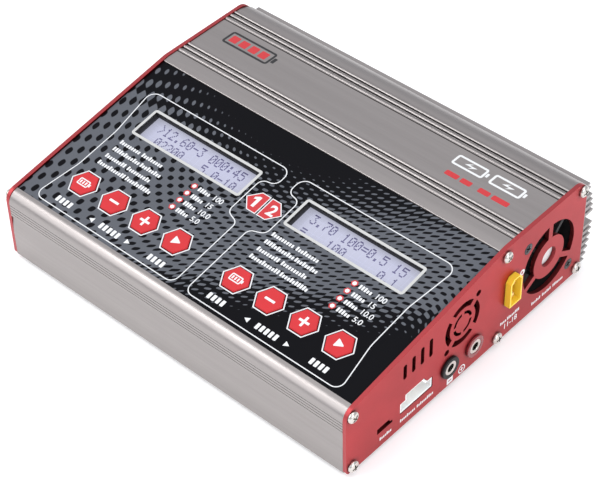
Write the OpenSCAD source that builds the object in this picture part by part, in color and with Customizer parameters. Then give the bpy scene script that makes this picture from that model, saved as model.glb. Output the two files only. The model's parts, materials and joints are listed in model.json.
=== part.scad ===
// Twin-channel desktop charger for radio-control batteries.
// Two extruded aluminium shells lie one on the other and are closed by a metal
// plate at each end. The sloping deck carries two displays and two rows of four
// hexagonal keys; each end plate carries the sockets and the fan of one channel.
//
// Case frame: x is 0 midway between the end plates, y is 0 at the front face and
// grows towards the fins, z is 0 at the underside of the end plates. Every node is
// moved by place() so that the origin is at the middle of the footprint.

/* [Case] */
// Width over the two end plates
case_w = 200; // [190:1:220]
// Depth from the front face to the tip of the longest fin
case_d = 168.4; // [166:0.2:172]
// Height of the flat top above the underside
case_h = 53.1; // [52:0.1:56]
// Thickness of the shell walls
wall = 2; // [1.6:0.1:2.4]
// Height of the seam between the two shells
seam_z = 23.6; // [22.5:0.1:24.4]
// Height of the rubber feet
foot_h = 2; // [1:0.1:4]

/* [End plates] */
// Thickness of each end plate
plate_t = 2; // [1.5:0.1:2.5]
// Rear edge of the plates
plate_back = 158.6; // [157.5:0.1:160]
// Height of the plate edge above the shell
plate_rise = 0.5; // [0.1:0.1:1]
// Radius of the screw heads that hold the plates
plate_screw_head_r = 2.8; // [2.4:0.1:3]

/* [Deck] */
// Tilt of the display deck in degrees
deck_tilt = 9.45; // [8:0.05:10]
// Length of the deck overlay, measured up the slope
deck_len = 94.3; // [90:0.1:96]
// Distance of each channel's centre from the middle of the deck
channel_x = 46.2; // [44:0.1:48]
// Width of a display window
window_w = 63.6; // [60:0.1:66]
// Height of a display window
window_h = 14.4; // [14:0.1:17]
// Distance of the display centre from the deck's upper edge
window_s = 32.4; // [30:0.1:36]

/* [Keys] */
// Width of a key across its flats
key_flats = 11.5; // [10:0.1:12.5]
// Distance from one key to the next
key_pitch = 19; // [17:0.1:20]
// Distance of the key row from the deck's upper edge
key_s = 75; // [72:0.1:78]
// Height of a key above the deck
key_rise = 0.6; // [0.3:0.1:1]
// Travel of a key
key_travel = 0.5; // [0.3:0.1:0.6]

/* [Ports] */
// Radius of the 4 mm socket bores
jack_bore_r = 2; // [2:0.01:2.1]
// Side of the square fans
fan_side = 40; // [39:0.5:40]
// Hole spacing of the fans
fan_pitch = 32; // [31:0.5:32]

/* [Hidden] */

half_w = case_w / 2;
inner_w = case_w - 2 * plate_t;
rib_h = 0.3;
lift = foot_h + rib_h;

// Rear fins: their tips lie on a wide arc about fin_mid_z
fin_root = 162;
back_inner = 157.8;
fin_pitch = 3.45;
fin_arc_r = 68;
fin_mid_z = 22;
lower_fins = [for (i = [0:5]) 3.75 + i * fin_pitch];
upper_fins = [for (i = [0:3]) 28.5 + i * fin_pitch];

// Deck: its upper edge, and the metal lip that stands round the overlay
deck_y = 99;
deck_z = case_h - 1.1;
overlay_t = 0.5;
lip_h = 0.6;
deck_under = 2.6;
nose_r = 6;

// Heights of the fine grooves along the front face
front_lines = [25.4, 27, 28.6, 30.2];

// Self-tapping screw ports, as [y, z]
lower_ports = [[3.5, 3.4], [98, 3.4], [155.2, 3.4]];
upper_ports = [[3.5, 33.2], [101.8, 48.8], [155.2, 48.9]];
port_r = 2.3;
port_bore_r = 1.3;

// Channel fittings on the end plates, as [y, z]
fan_c = [133.2, 25.9];
fan_t = 10;
jack_y = [65.5, 82];
jack_z = 11.3;
jack_tube_r = 3.6;
jack_sleeve_r = 4.5;
jack_flange_r = 5.4;
jack_flange_t = 1.2;
vent_c = [73.3, 31.5];
dc_c = [106.5, 27.2];
dc_size = [8.1, 15.8];
dc_proud = 2.8;
mains_c = [98.5, 30];
mains_size = [27.4, 20];
mains_flange = [31, 24];

// Circuit boards
board_t = 1.6;
board_z = 4;
board_top = board_z + board_t;
charger_board = [[6, 8], [96, 94.5]];
supply_board_box = [[-85, 101.6], [85, 151.4]];

// Places of the standoffs under the boards, as [x, y]
charger_posts = [[11, 13], [84, 13], [11, 89], [72, 89]];
supply_posts = [[-80, 106.6], [80, 106.6], [-80, 146.4], [80, 146.4]];

// Heights in the deck frame
display_glass_z = -5;
display_board_z = -12;
key_board_z = -10.1;
switch_top_z = -6.6;
stem_end_z = -7.4;

// Displays: the glass, and the opening of the frame over it
glass_t = 2.6;
glass_w = 68;
glass_h = 20.2;
bezel_w = window_w + 1.2;
bezel_h = window_h + 2.6;

// Play round a key in its hole, over both flats, and over its switch
key_gap = 0.6;
key_play = 0.3;

// Move a node from the case frame to the row frame
module place() translate([0, -case_d / 2, lift]) children();

// Work in the deck frame: x along the case, y up the slope, z out of the overlay
module on_deck() place() translate([0, deck_y, deck_z]) rotate([deck_tilt, 0, 0]) children();

// Extrude a (y, z) section along x
module along_x(x, len) translate([x, 0, 0]) rotate([90, 0, 90]) linear_extrude(len) children();

// Put a thing at both ends of the case, the second as a mirror image
module both_ends() {
    children();
    mirror([1, 0, 0]) children();
}

// Point of the side section at distance s down the deck and height h over it
function deck_point(s, h) = [
    deck_y - s * cos(deck_tilt) - h * sin(deck_tilt),
    deck_z - s * sin(deck_tilt) + h * cos(deck_tilt)
];

// Distance down the deck at which height h over it reaches level z
function deck_reach(z, h) = (deck_z + h * cos(deck_tilt) - z) / sin(deck_tilt);

// Points on an arc about c
function arc(c, r, a0, a1, n) = [
    for (i = [0:n]) let (a = a0 + (a1 - a0) * i / n) [c[0] + r * cos(a), c[1] + r * sin(a)]
];

// The same points in the opposite order
function reversed(p) = [for (i = [len(p) - 1:-1:0]) p[i]];

// Centre height of the nose curve that meets the front face and height h over the deck
function nose_z(h) = let (s = (deck_y - nose_r - (h - nose_r) * sin(deck_tilt)) / cos(deck_tilt))
    deck_point(s, h - nose_r)[1];

// Fin tip at height z
function fin_tip(z) = case_d - fin_arc_r + sqrt(fin_arc_r ^ 2 - (z - fin_mid_z) ^ 2);

// Outline of one fin, from its lower root to its upper root
function fin_points(z) = let (tip = fin_tip(z)) [
    [fin_root, z - 0.95], [tip - 0.5, z - 0.6], [tip, z - 0.25],
    [tip, z + 0.25], [tip - 0.5, z + 0.6], [fin_root, z + 0.95]
];

// One line across the top: a round bead where h is positive, a square groove where it is not
function line_points(y, w, h) = h > 0
    ? [for (i = [0:8]) [y - w * (1 - i / 4), case_h + h * sin(i * 22.5)]]
    : [[y - w, case_h], [y - w, case_h + h], [y + w, case_h + h], [y + w, case_h]];

// Two groups of lines across the flat top, as [y, half width, height]
line_set = [
    [0, 0.3, -0.3], [1.7, 0.8, 0.35], [3.3, 0.5, -0.9],
    [4.8, 0.7, 0.35], [6.3, 0.5, -0.9], [7.7, 0.7, 0.35]
];
line_groups = [108.1, 139.9];
top_lines = [for (y0 = line_groups, l = line_set) [y0 + l[0], l[1], l[2]]];

module port_rings(ports) for (p = ports) translate(p) circle(r = port_r, $fn = 48);
module port_bores(ports) for (p = ports) translate(p) circle(r = port_bore_r, $fn = 48);

module lower_section() difference() {
    union() {
        polygon(concat(
            [[0.6, seam_z], [0.45, 21.5], [0.2, 18.5], [0, 15]],
            arc([1, 1], 1, 180, 270, 6),
            [for (y = [6:6:150], p = [[-1, 0], [-0.8, -rib_h], [0.8, -rib_h], [1, 0]]) [y + p[0], p[1]]],
            [[fin_tip(0.6) - 0.4, 0], [fin_tip(0.6), 0.4], [fin_tip(0.6) - 0.4, 0.9], [fin_root, 1.4]],
            [for (z = lower_fins, p = fin_points(z)) p],
            [[fin_root, seam_z], [back_inner, seam_z], [back_inner, wall], [wall, wall], [wall, seam_z]]
        ));
        port_rings(lower_ports);
    }
    port_bores(lower_ports);
}

module upper_section() difference() {
    union() {
        polygon(reversed(concat(
            [[0, seam_z]],
            [for (z = front_lines, p = [[0, -0.12], [0.2, -0.12], [0.2, 0.12], [0, 0.12]]) [p[0], z + p[1]]],
            arc([nose_r, nose_z(lip_h)], nose_r, 180, 90 + deck_tilt, 14),
            [deck_point(deck_len + 0.15, lip_h), deck_point(deck_len + 0.15, -overlay_t)],
            [deck_point(-0.15, -overlay_t), deck_point(-0.15, lip_h)],
            [deck_point(deck_reach(case_h, lip_h), lip_h)],
            [for (l = top_lines, p = line_points(l[0], l[1], l[2])) p],
            arc([149.6, case_h - 14], 14, 90, 34, 12),
            [[163.6, 46.9], [163.7, 46.4], [162.3, 45.5], [164.5, 44.2], [164.5, 43.7], [162.6, 42.6]],
            [[fin_root, 41.6]],
            [for (z = reversed(upper_fins)) each reversed(fin_points(z))],
            [[fin_root, seam_z], [back_inner - 0.15, seam_z], [back_inner - 0.15, 20.6]],
            [[back_inner - 1.1, 20.6], [back_inner - 1.1, 25.4], [back_inner, 26.8]],
            [[back_inner, 43], [152.5, case_h - 2.2]],
            [deck_point(deck_reach(case_h - 2.2, -deck_under), -deck_under)],
            [deck_point(91.5, -deck_under), [5, 32.6], [2.7, 30.6], [wall, 29], [wall, 26.8]],
            [[wall + 1.1, 25.4], [wall + 1.1, 20.6], [wall + 0.15, 20.6], [wall + 0.15, seam_z]]
        )));
        port_rings(upper_ports);
    }
    port_bores(upper_ports);
}

// Hexagon with a point to the left and to the right, given across its flats
module hexagon(flats) circle(r = flats / sqrt(3), $fn = 6);

// Places of the keys in the deck frame
function key_x(side, i) = side * channel_x + (i - 1.5) * key_pitch;

// Outline of the display windows and key holes
module deck_cutouts() for (side = [-1, 1]) {
    translate([side * channel_x, -window_s]) square([window_w, window_h], center = true);
    for (i = [0:3]) translate([key_x(side, i), -key_s]) hexagon(key_flats + key_gap);
}

module lower_shell() color("silver") place() along_x(-inner_w / 2, inner_w) lower_section();

module upper_shell() color("silver") difference() {
    place() along_x(-inner_w / 2, inner_w) upper_section();
    on_deck() translate([0, 0, -deck_under - 1]) linear_extrude(deck_under + 2) deck_cutouts();
}

module deck_overlay() color("#2a2b30") on_deck() translate([0, 0, -overlay_t])
    linear_extrude(overlay_t) difference() {
        translate([-inner_w / 2 + 0.1, -deck_len]) square([inner_w - 0.2, deck_len]);
        deck_cutouts();
    }

// End plates

module plate_outline() polygon(concat(
    arc([2, 2], 2, 270, 180, 6),
    arc([nose_r, nose_z(lip_h + plate_rise)], nose_r, 180, 90 + deck_tilt, 14),
    [deck_point(deck_reach(case_h + plate_rise, lip_h + plate_rise), lip_h + plate_rise)],
    arc([plate_back - 7, case_h + plate_rise - 7], 7, 90, 0, 12),
    arc([plate_back - 2, 2], 2, 0, -90, 6)
));

// Upright slot with round ends, from z0 to z1
module slot_hole(y, z0, z1) {
    translate([y - 1.1, z0 + 1.1]) square([2.2, z1 - z0 - 2.2]);
    for (z = [z0 + 1.1, z1 - 1.1]) translate([y, z]) circle(r = 1.1, $fn = 32);
}

module ring(r0, r1) difference() {
    circle(r = r1, $fn = 96);
    circle(r = r0, $fn = 96);
}

// Ring cut into equal arcs by bars of the given width, the first at angle a
module barred_ring(r0, r1, bars, a, bar_w) difference() {
    ring(r0, r1);
    for (i = [0:bars - 1]) rotate(a + i * 360 / bars) translate([0, -bar_w / 2]) square([r1 + 1, bar_w]);
}

// Keyed outline of the balance port, drawn in by g on every side
module balance_outline(g) polygon([
    [33.5 + g, 8.6 + g], [54.4 - g, 8.6 + g], [54.4 - g, 14.8 - g], [51 - g, 14.8 - g],
    [48.8 - g, 18 - g], [36.8 + g, 18 - g], [36.8 + g, 14.8 - g], [33.5 + g, 14.8 - g]
]);

module temperature_outline() polygon([
    [19, 8.6], [28.6, 8.6], [28.6, 10], [27, 10.2], [26.6, 11.7], [19, 11.7]
]);

module channel_cuts() {
    for (i = [0:3]) slot_hole(36.2 + i * 5.5, 28, 36.3 + i * 0.7);
    balance_outline(0);
    temperature_outline();
    for (y = jack_y) translate([y, jack_z]) circle(r = jack_sleeve_r + 0.05, $fn = 64);
    translate(fan_c) {
        barred_ring(10.8, 18.2, 3, 90, 2.8);
        circle(r = 5, $fn = 64);
    }
    for (p = concat(lower_ports, upper_ports)) translate(p) circle(r = 1.6, $fn = 32);
}

// Sunk seats of the two fan screws, as offsets from the fan's centre
fan_screw_at = [[-fan_pitch / 2, fan_pitch / 2], [fan_pitch / 2, -fan_pitch / 2]];

module fan_seats() for (p = fan_screw_at)
    translate([half_w - plate_t, fan_c[0] + p[0], fan_c[1] + p[1]]) rotate([0, 90, 0]) {
        translate([0, 0, -1]) cylinder(r = 1.6, h = plate_t + 2, $fn = 32);
        translate([0, 0, plate_t - 1.2]) cylinder(r1 = 1.6, r2 = 2.85, h = 1.25, $fn = 32);
    }

module dc_outline(gap) polygon([for (p = [[-1, -1], [1, -1], [1, 0.72], [0.5, 1], [-0.5, 1], [-1, 0.72]])
    [dc_c[0] + p[0] * (dc_size[0] / 2 + gap), dc_c[1] + p[1] * (dc_size[1] / 2 + gap)]]);

module right_end_plate() color("#c0484f") place() difference() {
    along_x(half_w - plate_t, plate_t) difference() {
        plate_outline();
        channel_cuts();
        dc_outline(0.1);
        translate(vent_c) {
            barred_ring(8.4, 11.4, 4, 45, 3);
            barred_ring(4.6, 6.1, 4, 0, 1.6);
            for (k = [-1, 1]) translate([k * 10, k * 10]) circle(r = 1.55, $fn = 32);
        }
    }
    fan_seats();
}

module left_end_plate() color("#c0484f") place() mirror([1, 0, 0]) difference() {
    along_x(half_w - plate_t, plate_t) difference() {
        plate_outline();
        channel_cuts();
        translate(mains_c) square(mains_size + [0.2, 0.2], center = true);
    }
    fan_seats();
}

// Cross recess for a screw head whose top is at height h
module cross_recess(h) for (a = [0, 90]) rotate(a) translate([-1.7, -0.35, h - 1.1]) cube([3.4, 0.7, 2]);

module pan_screw() difference() {
    union() {
        cylinder(r = plate_screw_head_r, h = 1.3, $fn = 48);
        translate([0, 0, 1.3]) cylinder(r1 = plate_screw_head_r, r2 = 1.9, h = 0.7, $fn = 48);
        translate([0, 0, -10]) cylinder(r = port_bore_r - 0.05, h = 10, $fn = 48);
    }
    cross_recess(2);
}

module end_plate_screws() color("gainsboro") place() both_ends()
    for (p = concat(lower_ports, upper_ports))
        translate([half_w, p[0], p[1]]) rotate([0, 90, 0]) rotate(25 * p[0]) pan_screw();

module rubber_feet() color("#202020") place() for (x = [-82, 82], y = [18, 138])
    translate([x, y, -lift]) difference() {
        union() {
            cylinder(r1 = 5.4, r2 = 6, h = 0.6, $fn = 64);
            translate([0, 0, 0.6]) cylinder(r = 6, h = foot_h - 0.6, $fn = 64);
        }
        translate([0, 0, -1]) cylinder(r = 2, h = 1.8, $fn = 32);
    }

// Displays

module display_board(side) color("#1f6b3a") on_deck()
    translate([side * channel_x - 39, -window_s - 15, display_board_z - board_t]) difference() {
        cube([78, 30, board_t]);
        for (x = [2.5, 75.5], y = [2.5, 27.5]) translate([x, y, -1])
            cylinder(r = 1.3, h = board_t + 2, $fn = 32);
    }

module display_frame(side) color("#26272b") on_deck()
    translate([side * channel_x, -window_s, display_board_z]) difference() {
        translate([-35.5, -12.4, 0]) cube([71, 24.8, 8.6]);
        translate([-bezel_w / 2, -bezel_h / 2, -1]) cube([bezel_w, bezel_h, 12]);
        translate([-glass_w / 2, -glass_h / 2, display_glass_z - glass_t - display_board_z])
            cube([glass_w, glass_h, glass_t]);
    }

module display_glass(side) color("#c9cbe8") on_deck()
    translate([side * channel_x - glass_w / 2, -window_s - glass_h / 2, display_glass_z - glass_t])
        cube([glass_w, glass_h, glass_t]);

// Keys

module key_board() color("#1f6b3a") on_deck() translate([0, -key_s, key_board_z - board_t]) difference() {
    translate([-88, -9, 0]) cube([176, 18, board_t]);
    for (x = [-84, -2.5, 2.5, 84]) translate([x, 0, -1]) cylinder(r = 1.3, h = board_t + 2, $fn = 32);
}

module key_switches() color("#2c2c2c") on_deck() for (side = [-1, 1], i = [0:3])
    translate([key_x(side, i), -key_s, key_board_z]) difference() {
        translate([-3, -3, 0]) cube([6, 6, switch_top_z - key_board_z]);
        translate([0, 0, stem_end_z - key_travel - key_play - key_board_z])
            cylinder(r = 1.8, h = 4, $fn = 48);
    }

// One key: cap, retaining flange, stem and the plunger that it presses
module key(side, i) color("#e2404a") on_deck() translate([key_x(side, i), -key_s, 0]) {
    difference() {
        union() {
            translate([0, 0, -deck_under - 0.3]) linear_extrude(deck_under + key_rise + 0.1)
                hexagon(key_flats);
            translate([0, 0, key_rise - 0.2]) linear_extrude(0.2) hexagon(key_flats - 0.5);
            translate([0, 0, -deck_under - 1.3]) linear_extrude(1) hexagon(key_flats + 2.4);
        }
        translate([0, 0, -deck_under - 2]) cylinder(r = 4, h = 2.6, $fn = 48);
    }
    translate([0, 0, -6]) cylinder(r = 2.2, h = 4.2, $fn = 48);
    translate([0, 0, stem_end_z]) cylinder(r = 1.7, h = 1.4, $fn = 48);
}

// Circuit boards

// Flat board from corner a to corner b with holes at the given posts
module board(a, b, posts) difference() {
    translate([a[0], a[1], board_z]) cube([b[0] - a[0], b[1] - a[1], board_t]);
    for (p = posts) translate([p[0], p[1], board_z - 1]) cylinder(r = 1.6, h = board_t + 2, $fn = 32);
}

module charger_board_right() place() difference() {
    board(charger_board[0], charger_board[1], charger_posts);
    // Clearance for the nuts of the 4 mm sockets
    translate([89, 58.5, board_z - 1]) cube([10, 31, board_t + 2]);
}

module right_charger_board() color("#1f6b3a") charger_board_right();
module left_charger_board() color("#1f6b3a") mirror([1, 0, 0]) charger_board_right();

inductor_at = [[26, 68], [56, 68]];

module charger_inductors() color("#b5651d") place() both_ends() for (p = inductor_at)
    translate([p[0], p[1], board_top]) rotate_extrude($fn = 64) translate([7.5, 5]) circle(r = 5, $fn = 32);

// Comb-shaped bar that cools the power transistors
module charger_heat_sinks() color("silver") place() both_ends() translate([14, 44, board_top]) {
    cube([58, 3, 16]);
    for (i = [0:7]) translate([3 + i * 7.2, 3, 4]) cube([1.2, 5, 12]);
}

module charger_transistors() color("#2c2c2c") place() both_ends() for (i = [0:3])
    translate([18 + i * 14, 39.4, board_top]) {
        translate([0, 0, 3]) cube([10, 4.6, 9]);
        translate([0, 3.3, 12]) cube([10, 1.3, 4]);
        for (k = [0:2]) translate([2.1 + k * 2.54, 1.6, 0]) cube([0.8, 0.6, 3]);
    }

module charger_capacitors() color("#20304c") place() both_ends() {
    for (i = [0:3]) translate([20 + i * 12, 27, board_top]) cylinder(r = 4, h = 12, $fn = 48);
    for (i = [0:2]) translate([78, 38 + i * 11, board_top]) cylinder(r = 4, h = 12, $fn = 48);
}

module buzzer() color("#1c1c1c") place() translate([-20, 16.5, board_top]) difference() {
    cylinder(r = 6, h = 8.5, $fn = 64);
    translate([0, 0, 6]) cylinder(r = 1.25, h = 4, $fn = 32);
}

module supply_board() color("#b88a4a") place()
    board(supply_board_box[0], supply_board_box[1], supply_posts);

module supply_transformer() color("#d8b24a") place() translate([8, 112, board_top]) {
    translate([0, 0, 3]) cube([32, 28, 22]);
    translate([-2, 3, 0]) cube([36, 22, 3]);
    translate([3, -2, 8]) cube([26, 32, 12]);
}

module supply_choke() color("#b5651d") place() translate([-64, 136, board_top + 13])
    rotate([0, 90, 0]) rotate_extrude($fn = 64) translate([8.5, 0]) circle(r = 4.5, $fn = 32);

module supply_capacitors() color("#20304c") place() {
    for (x = [-40, -18]) translate([x, 139, board_top]) cylinder(r = 9, h = 34, $fn = 64);
    for (x = [50, 62, 74]) translate([x, 140, board_top]) cylinder(r = 5, h = 22, $fn = 48);
    translate([-16, 112, board_top]) cube([18, 9, 14]);
}

module supply_heat_sinks() color("silver") place() for (x = [-40, 42]) translate([x - 24, 107, board_top]) {
    cube([48, 2.4, 30]);
    for (i = [0:5]) translate([2 + i * 8.4, -3.5, 8]) cube([1.4, 3.5, 22]);
}

module supply_rectifier() color("#2c2c2c") place() {
    translate([-44, 109.5, board_top + 4]) cube([20, 4.5, 17]);
    for (x = [45, 57]) translate([x, 109.5, board_top + 4]) cube([10, 4.6, 16]);
}

// Corner posts under the boards, as [x, y] in the case frame
all_posts = concat(charger_posts, [for (p = charger_posts) [-p[0], p[1]]], supply_posts);

module board_standoffs() color("goldenrod") place() for (p = all_posts)
    translate([p[0], p[1], wall]) difference() {
        cylinder(r = 2.9, h = board_z - wall, $fn = 6);
        translate([0, 0, -1]) cylinder(r = 1.3, h = 5, $fn = 32);
    }

module board_screws() color("gainsboro") place() for (p = all_posts)
    translate([p[0], p[1], board_top]) difference() {
        union() {
            cylinder(r = 2.6, h = 1.6, $fn = 48);
            translate([0, 0, -3.2]) cylinder(r = 1.25, h = 3.2, $fn = 48);
        }
        cross_recess(1.6);
    }

// Fans. Their frames stand against the end plates, hub side outwards

module fan_frame() place() translate([half_w - plate_t, fan_c[0], fan_c[1]]) rotate([0, 90, 0])
    translate([0, 0, -fan_t]) difference() {
        union() {
            difference() {
                translate([-fan_side / 2, -fan_side / 2, 0]) cube([fan_side, fan_side, fan_t]);
                translate([0, 0, -1]) cylinder(r = 18.9, h = fan_t + 2, $fn = 96);
            }
            translate([0, 0, fan_t - 1.8]) cylinder(r = 10.4, h = 1.5, $fn = 64);
            for (a = [45:90:315]) rotate(a) translate([9.5, -1, fan_t - 1.8]) cube([10.4, 2, 1.5]);
            translate([0, 0, 3.4]) cylinder(r = 2.6, h = 5, $fn = 48);
            translate([0, 0, 3.9]) cylinder(r = 8.4, h = 3, $fn = 64);
        }
        for (x = [-1, 1], y = [-1, 1]) translate([x * fan_pitch / 2, y * fan_pitch / 2, -1])
            cylinder(r = 2.15, h = fan_t + 2, $fn = 48);
        // Bearing for the rotor's shaft
        translate([0, 0, 1]) cylinder(r = 1.04, h = 7.8, $fn = 48);
    }

module fan_rotor() place() translate([half_w - plate_t, fan_c[0], fan_c[1]]) rotate([0, 90, 0])
    translate([0, 0, -fan_t]) {
        difference() {
            translate([0, 0, 0.5]) cylinder(r = 11, h = 7.2, $fn = 64);
            translate([0, 0, 1.7]) cylinder(r = 9.6, h = 8, $fn = 64);
        }
        translate([0, 0, 1.7]) cylinder(r = 1, h = 6.5, $fn = 48);
        intersection() {
            translate([0, 0, 0.6]) difference() {
                cylinder(r = 18.3, h = 7, $fn = 96);
                translate([0, 0, -1]) cylinder(r = 10.9, h = 9, $fn = 64);
            }
            for (i = [0:6]) rotate(i * 360 / 7) translate([10, 0, 4.1]) rotate([38, 0, 0])
                translate([0, -6.5, -0.5]) cube([10, 13, 1]);
        }
    }

module right_fan_frame() color("#1b1b1b") fan_frame();
module left_fan_frame() color("#1b1b1b") mirror([1, 0, 0]) fan_frame();
module right_fan_rotor() color("#242424") fan_rotor();
module left_fan_rotor() color("#242424") mirror([1, 0, 0]) fan_rotor();

module fan_labels() color("white") place() both_ends()
    translate([half_w - plate_t - 0.3, fan_c[0], fan_c[1]]) rotate([0, 90, 0])
        cylinder(r = 6.3, h = 0.15, $fn = 64);

module fan_screws() color("#303030") place() both_ends() for (p = fan_screw_at)
    translate([half_w, fan_c[0] + p[0], fan_c[1] + p[1]]) rotate([0, 90, 0]) difference() {
        union() {
            translate([0, 0, -1.2]) cylinder(r1 = 1.5, r2 = 2.7, h = 1.2, $fn = 48);
            translate([0, 0, -11]) cylinder(r = 1.5, h = 9.8, $fn = 48);
        }
        cross_recess(0);
    }

// 4 mm sockets

module jack_collar(y) translate([half_w, y, jack_z]) rotate([0, 90, 0]) difference() {
    union() {
        cylinder(r = jack_flange_r, h = jack_flange_t, $fn = 64);
        translate([0, 0, -6]) cylinder(r = jack_sleeve_r, h = 6, $fn = 64);
    }
    translate([0, 0, -7]) cylinder(r = jack_tube_r, h = 10, $fn = 64);
}

module negative_socket_collars() color("#161616") place() both_ends() jack_collar(jack_y[0]);
module positive_socket_collars() color("#b03030") place() both_ends() jack_collar(jack_y[1]);

module socket_tubes() color("silver") place() both_ends() for (y = jack_y)
    translate([half_w - 17, y, jack_z]) rotate([0, 90, 0]) difference() {
        union() {
            cylinder(r = jack_tube_r, h = 18, $fn = 64);
            translate([0, 0, -4]) cylinder(r = 1.5, h = 4, $fn = 32);
        }
        translate([0, 0, 3]) cylinder(r = jack_bore_r, h = 20, $fn = 64);
    }

module socket_nuts() color("gainsboro") place() both_ends() for (y = jack_y)
    translate([half_w - 6, y, jack_z]) rotate([0, 90, 0]) difference() {
        cylinder(r = 6.2, h = 2.6, $fn = 6);
        translate([0, 0, -1]) cylinder(r = jack_sleeve_r + 0.02, h = 6, $fn = 64);
    }

// Balance and temperature headers stand on the charger boards

pin_rows = [for (i = [0:6]) [36.45 + i * 2.5, 11.6]];
temperature_rows = [for (i = [0:2]) [21.3 + i * 2.5, 9.9]];
header_back = 86;
header_floor = 92;

module balance_header() place() difference() {
    union() {
        along_x(header_back, half_w - 0.3 - header_back) balance_outline(0.15);
        translate([header_back, 36, board_top]) cube([10, 16, 3.4]);
    }
    along_x(header_floor, 20) balance_outline(0.95);
    along_x(header_back - 1, 10) for (p = pin_rows) translate(p) square(0.64, center = true);
}

module right_balance_header() color("white") balance_header();
module left_balance_header() color("white") mirror([1, 0, 0]) balance_header();

module header_pins() color("gold") place() both_ends() {
    for (p = pin_rows) translate([header_back - 1.6, p[0] - 0.32, p[1] - 0.32]) cube([11.4, 0.64, 0.64]);
    for (p = pin_rows) translate([header_back - 1.6, p[0] - 0.32, board_top])
        cube([0.64, 0.64, p[1] - 0.32 - board_top]);
    for (p = temperature_rows) translate([header_back - 1.6, p[0] - 0.25, p[1] - 0.25])
        cube([11, 0.5, 0.5]);
    for (p = temperature_rows) translate([header_back - 1.6, p[0] - 0.25, board_top])
        cube([0.5, 0.5, p[1] - 0.25 - board_top]);
}

module temperature_headers() color("#161616") place() both_ends() difference() {
    translate([header_back, 18.2, board_top]) cube([half_w - plate_t - 0.1 - header_back, 11.2, 7]);
    translate([header_floor, 19, 8.6]) cube([20, 9.6, 3.1]);
    for (p = temperature_rows) translate([header_back - 1, p[0] - 0.25, p[1] - 0.25]) cube([10, 0.5, 0.5]);
}

// Direct-current inlet with two round pins in a keyed shroud

dc_pin_z = [dc_c[1] - 3.6, dc_c[1] + 3.6];
dc_back = 84;

module dc_inlet_housing() color("#f2b81e") place() difference() {
    union() {
        along_x(dc_back, half_w + dc_proud - dc_back) dc_outline(0);
        translate([half_w - plate_t - 2, dc_c[0] - 5.2, dc_c[1] - 9]) cube([2, 10.4, 18]);
    }
    along_x(half_w - 8, 20) dc_outline(-0.9);
    for (z = dc_pin_z) translate([dc_back - 1, dc_c[0], z]) rotate([0, 90, 0])
        cylinder(r = 1.75, h = 20, $fn = 48);
}

module dc_inlet_pins() color("gold") place() for (z = dc_pin_z)
    translate([dc_back - 4, dc_c[0], z]) rotate([0, 90, 0]) {
        cylinder(r = 1.75, h = 20.3, $fn = 48);
        translate([0, 0, 20.3]) cylinder(r1 = 1.75, r2 = 1.1, h = 0.8, $fn = 48);
    }

// Mains inlet on the left end plate: three blades, earth above

mains_blades = [[-7, -2], [0, 2.2], [7, -2]];
mains_back = 78;

module mains_inlet_housing() color("#1c1c1c") place() mirror([1, 0, 0]) difference() {
    union() {
        along_x(mains_back, half_w - mains_back) translate(mains_c) square(mains_size, center = true);
        along_x(half_w, dc_proud) translate(mains_c) square(mains_flange, center = true);
    }
    along_x(half_w - 15, 30) translate(mains_c) polygon([[-12.1, -8], [12.1, -8], [12.1, 3.2],
        [7.3, 8], [-7.3, 8], [-12.1, 3.2]]);
    along_x(mains_back - 1, 20) for (b = mains_blades) translate(mains_c + b) square([2, 4], center = true);
}

module mains_inlet_blades() color("silver") place() mirror([1, 0, 0])
    along_x(mains_back - 5, 25) for (b = mains_blades) translate(mains_c + b) square([2, 4], center = true);

// Straight rod from p to q
module rod(p, q, r) {
    v = q - p;
    translate(p) rotate([0, acos(v[2] / norm(v)), atan2(v[1], v[0])])
        cylinder(r = r, h = norm(v), $fn = 32);
}

// Insulated lead through a list of points
module lead(pts, r) {
    for (i = [1:len(pts) - 1]) rod(pts[i - 1], pts[i], r);
    for (i = [1:len(pts) - 2]) translate(pts[i]) sphere(r = r, $fn = 32);
}

module power_leads() color("#b03030") place() {
    for (i = [0, 1]) let (z = dc_pin_z[i], x = 74 - i * 6)
        lead([[dc_back - 4, dc_c[0], z], [x, dc_c[0], z], [x, dc_c[0], board_top]], 1.6);
    for (b = mains_blades) let (y = mains_c[0] + b[0], z = mains_c[1] + b[1], x = 9 + b[0] * 0.4 - mains_back)
        lead([[5 - mains_back, y, z], [x, y, z], [x, y, 14], [x, 104, 14], [x, 104, board_top]], 1.1);
}

lower_shell();
upper_shell();
left_end_plate();
right_end_plate();
end_plate_screws();
rubber_feet();
deck_overlay();
display_board(-1);  // left_display_board
display_board(1);  // right_display_board
display_frame(-1);  // left_display_frame
display_frame(1);  // right_display_frame
display_glass(-1);  // left_display_glass
display_glass(1);  // right_display_glass
key_board();
key_switches();
key(-1, 0);  // left_battery_key
key(-1, 1);  // left_minus_key
key(-1, 2);  // left_plus_key
key(-1, 3);  // left_start_key
key(1, 0);  // right_battery_key
key(1, 1);  // right_minus_key
key(1, 2);  // right_plus_key
key(1, 3);  // right_start_key
left_charger_board();
right_charger_board();
charger_inductors();
charger_heat_sinks();
charger_transistors();
charger_capacitors();
buzzer();
supply_board();
supply_transformer();
supply_choke();
supply_capacitors();
supply_heat_sinks();
supply_rectifier();
board_standoffs();
board_screws();
left_fan_frame();
right_fan_frame();
left_fan_rotor();
right_fan_rotor();
fan_labels();
fan_screws();
negative_socket_collars();
positive_socket_collars();
socket_tubes();
socket_nuts();
left_balance_header();
right_balance_header();
header_pins();
temperature_headers();
dc_inlet_housing();
dc_inlet_pins();
mains_inlet_housing();
mains_inlet_blades();
power_leads();
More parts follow.
